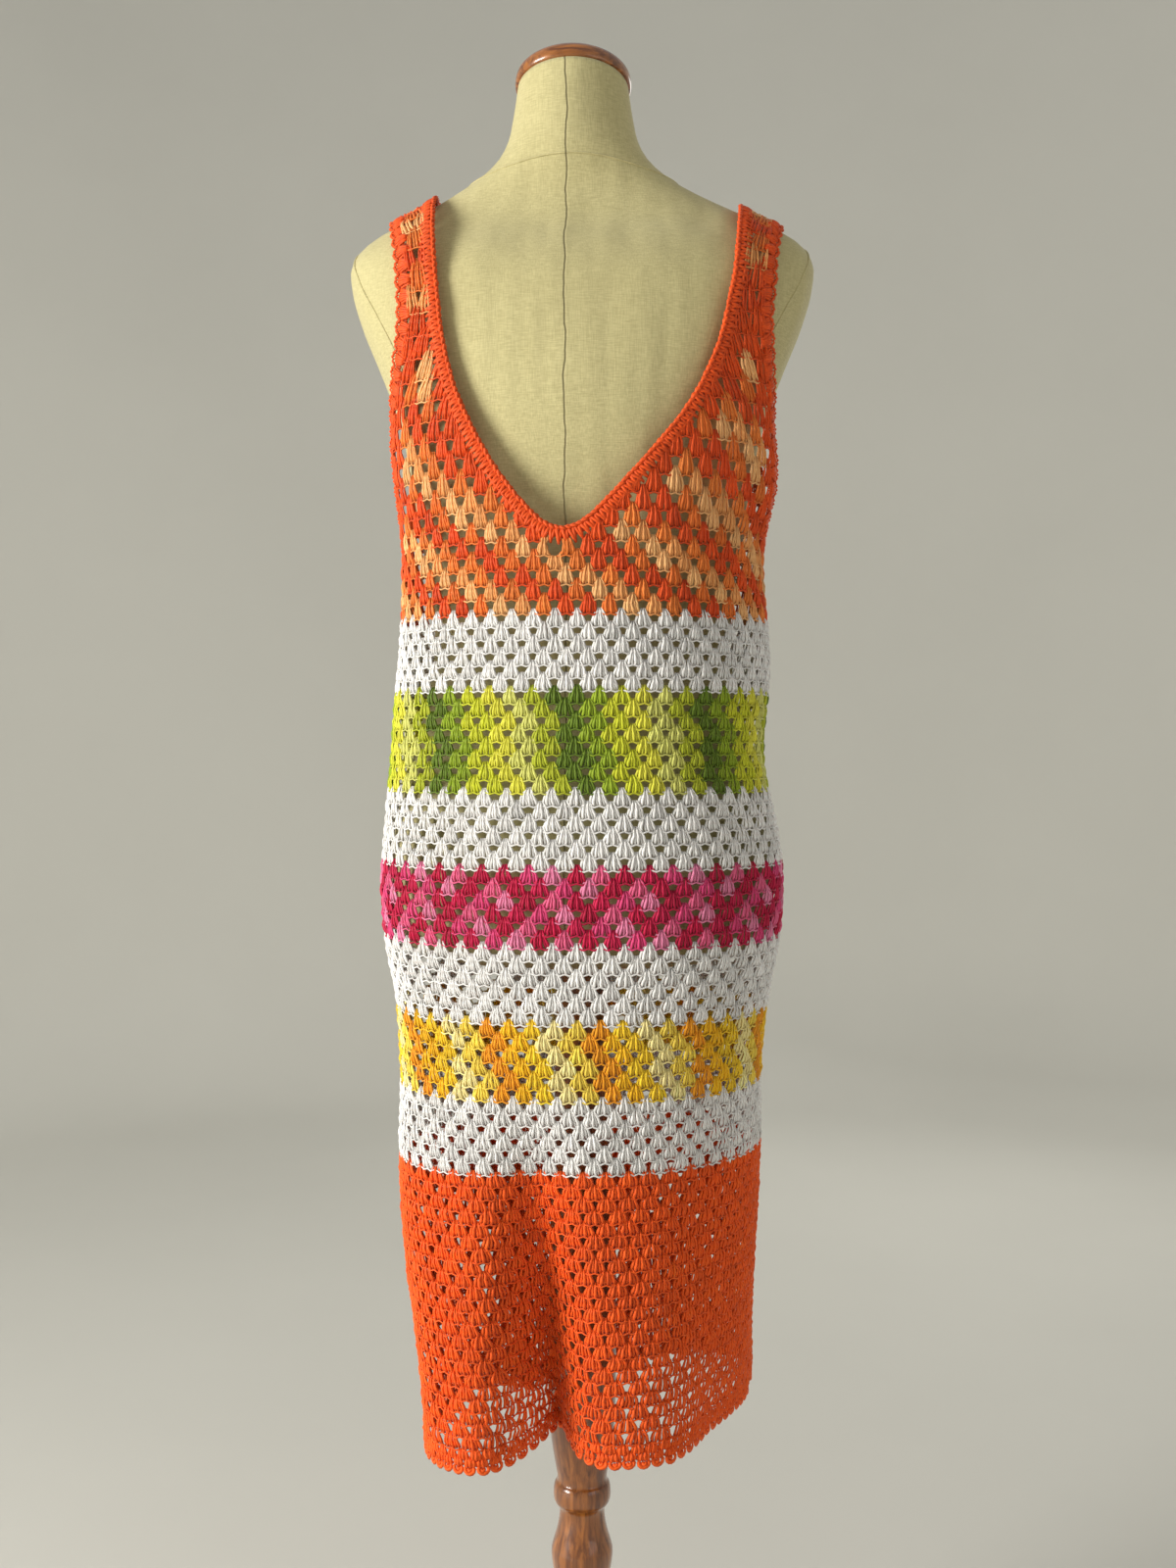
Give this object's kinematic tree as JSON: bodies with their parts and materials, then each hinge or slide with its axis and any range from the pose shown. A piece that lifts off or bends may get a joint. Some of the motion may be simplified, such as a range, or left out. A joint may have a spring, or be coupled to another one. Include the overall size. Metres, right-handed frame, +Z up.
{
  "type": "crochet dress on a dress form",
  "caption": "Sleeveless crochet dress with a deep V back, open at neck, armholes and hem, worn by an armless dress form on a turned column with a round base.",
  "frame": {"origin": "on the floor under the axis of the column, in the middle of the base's underside", "axes": "+Z up along the column, +Y out of the dress's back, -Y out of its front, +X to the wearer's left"},
  "size_m": [0.38, 0.36, 1.4601],
  "materials": {
    "crochet_cotton": "open cotton crochet in bands of orange, white, green, pink and yellow",
    "edging_cotton": "dense orange cotton crochet edging",
    "linen_cover": "tight plain-woven khaki linen",
    "varnished_wood": "glossy brown varnish"
  },
  "bodies": {
    "root": {"back_panel": "crochet_cotton", "front_panel": "crochet_cotton", "neck_edging": "edging_cotton", "armhole_edging_left": "edging_cotton", "armhole_edging_right": "edging_cotton", "hem_edging": "edging_cotton", "form_body": "linen_cover", "neck_cap": "varnished_wood", "column": "varnished_wood", "base_plate": "varnished_wood"}
  },
  "joints": []
}
